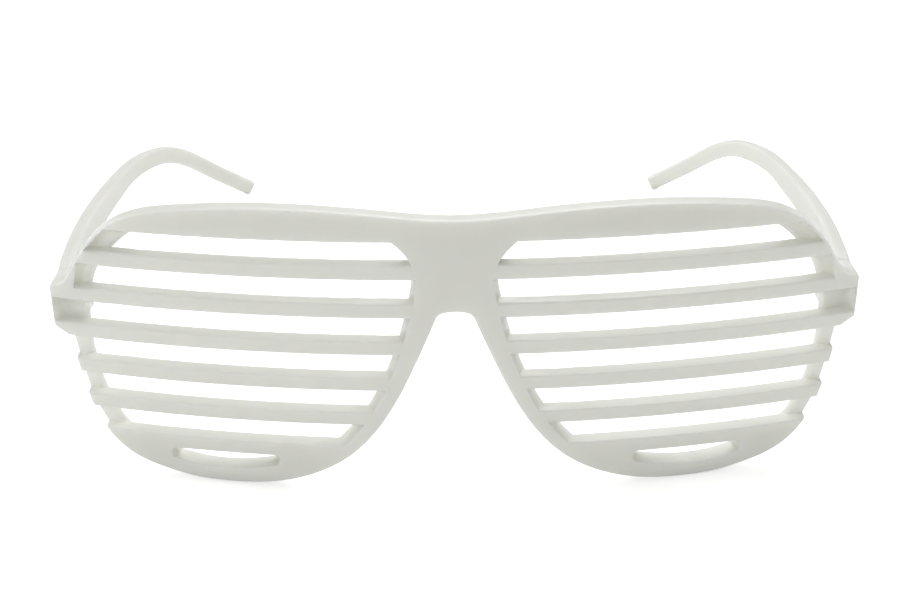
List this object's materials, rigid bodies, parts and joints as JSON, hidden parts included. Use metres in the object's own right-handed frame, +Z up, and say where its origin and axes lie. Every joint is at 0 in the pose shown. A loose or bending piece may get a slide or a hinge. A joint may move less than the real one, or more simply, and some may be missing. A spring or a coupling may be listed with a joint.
{
  "type": "slatted novelty glasses",
  "caption": "White plastic glasses whose eye openings are closed by level slats instead of lenses, with folding temples.",
  "frame": {"origin": "middle of the glasses' footprint, on the table they stand on", "axes": "+X to the wearer's left, +Y from the slats back towards the ears, +Z up; the glasses stand open on lower rims and temple tips"},
  "size_m": [0.1582, 0.1426, 0.0553],
  "materials": {
    "white_plastic": "glossy off-white moulding",
    "screw_steel": "plain turned steel"
  },
  "bodies": {
    "front": {"front": "white_plastic", "hinge_screws": "screw_steel"},
    "left_temple": {"left_temple": "white_plastic"},
    "right_temple": {"right_temple": "white_plastic"}
  },
  "joints": [
    {"name": "left_hinge", "type": "hinge", "parent": "front", "child": "left_temple", "pos_m": [0.0702, -0.05006, 0.02971], "axis": [0, 0.1007, 0.9949], "range_deg": [0, 83]},
    {"name": "right_hinge", "type": "hinge", "parent": "front", "child": "right_temple", "pos_m": [-0.0702, -0.05006, 0.02971], "axis": [0, -0.1007, -0.9949], "range_deg": [0, 75]}
  ]
}
